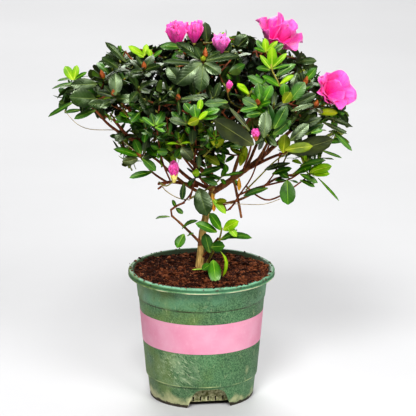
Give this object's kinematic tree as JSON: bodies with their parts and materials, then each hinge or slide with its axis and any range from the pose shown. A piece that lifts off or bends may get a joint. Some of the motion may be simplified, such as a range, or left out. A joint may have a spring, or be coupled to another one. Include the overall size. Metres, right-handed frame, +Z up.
{
  "type": "azalea bonsai in a nursery pot",
  "caption": "Small azalea trained as a bonsai: a leaning bare trunk under a broad leafy crown with pink flowers, in a round green plastic pot with a pink band.",
  "frame": {"origin": "on the ground under the middle of the pot", "axes": "+Z up along the pot's axis, +X to the viewer's right and -Y towards the viewer of the picture"},
  "size_m": [0.3518, 0.2915, 0.4484],
  "materials": {
    "pot": "green moulded plastic, slightly scuffed, with dried dirt at the foot",
    "band": "plain pink printed band",
    "soil": "dark crumbly peat",
    "bark": "tan fissured bark",
    "twig_bark": "brown twig bark",
    "leaf": "leathery green leaf with a soft sheen",
    "blossom": "soft pink petal"
  },
  "bodies": {
    "root": {"back_bough": "twig_bark", "back_left_bough": "twig_bark", "dead_stub": "twig_bark", "foliage_back_left": "leaf", "foliage_back_right": "leaf", "foliage_basal_sprig": "leaf", "foliage_front_left": "leaf", "foliage_front_right": "leaf", "foliage_left_back": "leaf", "foliage_left_end": "leaf", "foliage_left_front": "leaf", "foliage_left_shoot": "leaf", "foliage_low_back": "leaf", "foliage_low_front": "leaf", "foliage_low_left": "leaf", "foliage_low_right": "leaf", "foliage_right_back": "leaf", "foliage_right_end": "leaf", "foliage_right_front": "leaf", "foliage_top_back": "leaf", "foliage_top_front": "leaf", "foliage_top_left": "leaf", "foliage_top_middle": "leaf", "foliage_top_right": "leaf", "front_bough": "twig_bark", "front_right_bough": "twig_bark", "leader": "twig_bark", "left_back_bough": "twig_bark", "left_bough": "twig_bark", "left_front_bough": "twig_bark", "left_low_bough": "twig_bark", "left_shoot_stem": "twig_bark", "low_back_bough": "twig_bark", "low_front_bough": "twig_bark", "pot": "pot", "right_back_bough": "twig_bark", "right_bough": "twig_bark", "right_front_bough": "twig_bark", "right_low_bough": "twig_bark", "soil": "soil", "top_back_bough": "twig_bark", "top_front_bough": "twig_bark", "top_left_bough": "twig_bark", "top_right_bough": "twig_bark", "trunk": "bark"}
  },
  "joints": []
}
